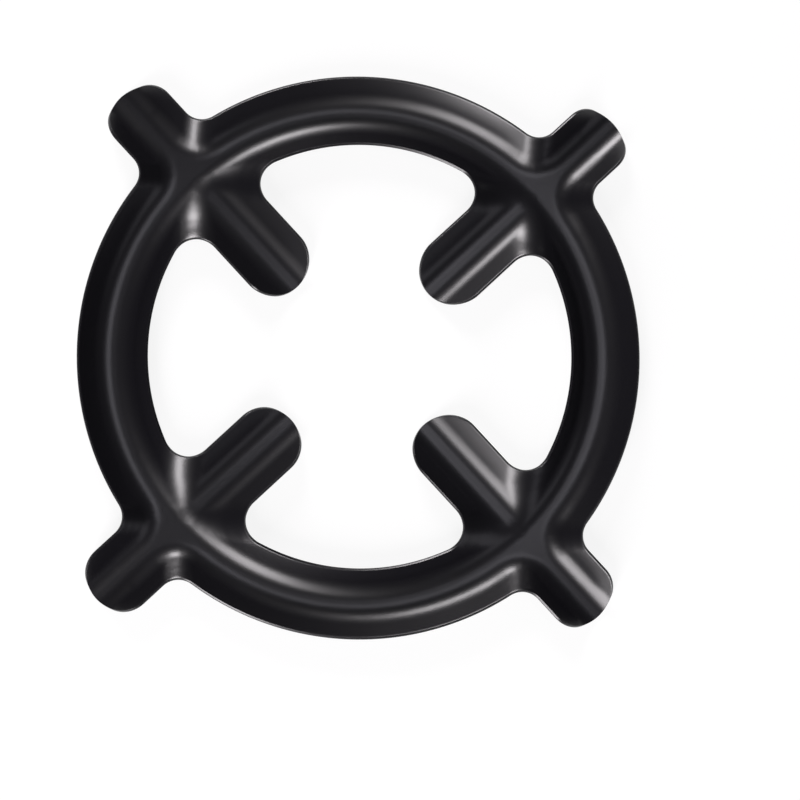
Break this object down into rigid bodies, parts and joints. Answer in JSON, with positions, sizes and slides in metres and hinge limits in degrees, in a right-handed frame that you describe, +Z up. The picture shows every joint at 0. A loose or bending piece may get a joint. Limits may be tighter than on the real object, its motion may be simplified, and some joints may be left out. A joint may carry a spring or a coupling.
{
  "type": "gas hob reducer ring",
  "caption": "Round pressed-steel channel ring with short arms pointing inwards, matching tabs outside and softly blended crossings, in satin black.",
  "frame": {"origin": "on the ring's axis, at the height of the outside of the channel floor, which the part lies on", "axes": "+Z up along the ring's axis, out of the open side of the channel; the arms and tabs lie on the diagonals between X and Y"},
  "size_m": [0.158, 0.158, 0.0079],
  "materials": {
    "black_enamel": "satin black"
  },
  "bodies": {
    "root": {"pressed_ring": "black_enamel"}
  },
  "joints": []
}
